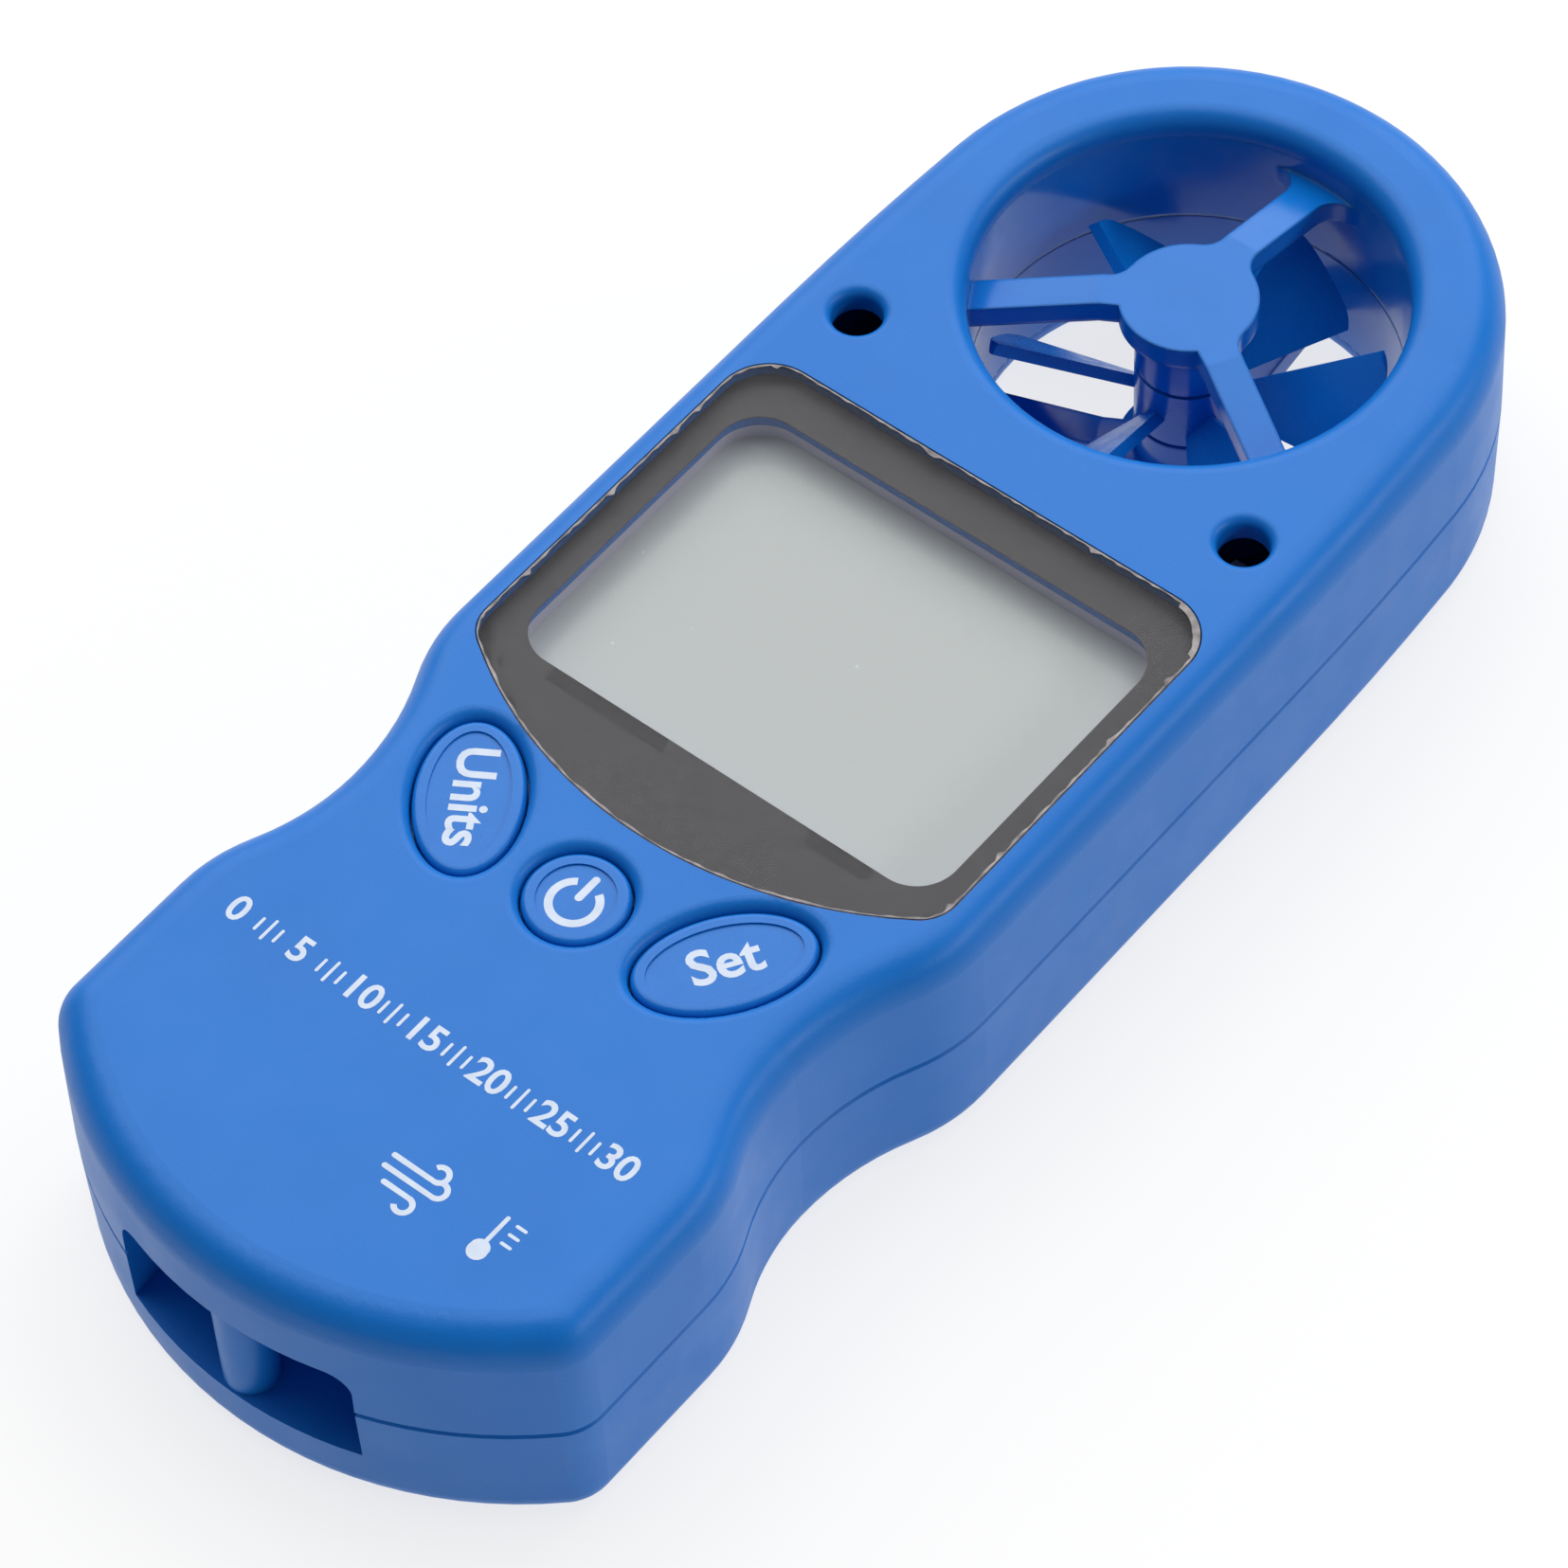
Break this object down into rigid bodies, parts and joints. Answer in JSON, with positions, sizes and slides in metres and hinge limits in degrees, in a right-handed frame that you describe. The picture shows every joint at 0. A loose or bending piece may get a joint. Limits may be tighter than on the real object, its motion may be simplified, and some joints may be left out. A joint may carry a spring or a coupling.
{
  "type": "handheld weather meter",
  "caption": "Pocket weather meter with a caged vane impeller in its rounded head, a display, three keys, a turn-off battery door and a strap post in its foot.",
  "frame": {"origin": "middle of the back, on the surface that the meter lies on", "axes": "+Y from the foot to the vane head, +Z out of the face with the display, +X to the right seen from the face"},
  "size_m": [0.047, 0.1281, 0.021],
  "materials": {
    "case_plastic": "fine satin texture",
    "duct_plastic": "smooth, slightly glossy",
    "impeller_plastic": "smooth, slightly glossy",
    "key_plastic": "semi-gloss with a polished rim",
    "clear_window": "clear polished acrylic",
    "clear_film": "thin clear protective film",
    "black_border": "printed border",
    "display_glass": "grey-green liquid crystal panel, blank",
    "white_plastic": "plain moulded",
    "soft_rubber": "soft strip",
    "black_resin": "moulded resin",
    "circuit_board": "solder mask",
    "lead_film": "flat film lead",
    "steel": "plated steel",
    "brass": "turned",
    "magnet": "nickel-plated magnet",
    "white_ink": "printed ink"
  },
  "bodies": {
    "body": {"front_shell": "case_plastic", "rear_shell": "case_plastic", "front_guard": "duct_plastic", "rear_guard": "duct_plastic", "front_bearing": "brass", "rear_bearing": "brass", "pickup_sensor": "black_resin", "pickup_lead": "lead_film", "main_board": "circuit_board", "controller_chip": "black_resin", "timing_crystal": "steel", "board_capacitors": "black_resin", "temperature_sensor": "black_resin", "humidity_sensor": "white_plastic", "lcd_panel": "display_glass", "lcd_holder": "white_plastic", "zebra_strip": "soft_rubber", "lcd_pad": "soft_rubber", "window_tape": "black_border", "window_mask": "black_border", "display_window": "clear_window", "window_film": "clear_film", "case_screws": "steel", "board_screws": "steel", "coin_cell": "steel", "battery_inner_contact": "steel", "battery_rim_contact": "steel", "units_switch": "black_resin", "power_switch": "black_resin", "set_switch": "black_resin"},
    "impeller": {"impeller": "impeller_plastic", "impeller_shaft": "steel", "impeller_magnet": "magnet"},
    "battery_door": {"battery_door": "case_plastic"},
    "units_key": {"units_key": "key_plastic", "units_plunger": "white_plastic"},
    "power_key": {"power_key": "key_plastic", "power_plunger": "white_plastic"},
    "set_key": {"set_key": "key_plastic", "set_plunger": "white_plastic"}
  },
  "joints": [
    {"name": "impeller_spin", "type": "hinge", "parent": "body", "child": "impeller", "pos_m": [0, 0.0412, 0.0103], "axis": [0, 0, 1], "continuous": true},
    {"name": "units_press", "type": "slide", "parent": "body", "child": "units_key", "axis": [0, 0, -1], "range_m": [0, 0.0003], "stiffness_N_per_m": 1500, "springref_m": -0.0002},
    {"name": "power_press", "type": "slide", "parent": "body", "child": "power_key", "axis": [0, 0, -1], "range_m": [0, 0.0003], "stiffness_N_per_m": 1500, "springref_m": -0.0002},
    {"name": "set_press", "type": "slide", "parent": "body", "child": "set_key", "axis": [0, 0, -1], "range_m": [0, 0.0003], "stiffness_N_per_m": 1500, "springref_m": -0.0002},
    {"name": "battery_door_turn", "type": "hinge", "parent": "body", "child": "battery_door", "pos_m": [0, -0.036, 0], "axis": [0, 0, 1], "range_deg": [0, 45]}
  ]
}
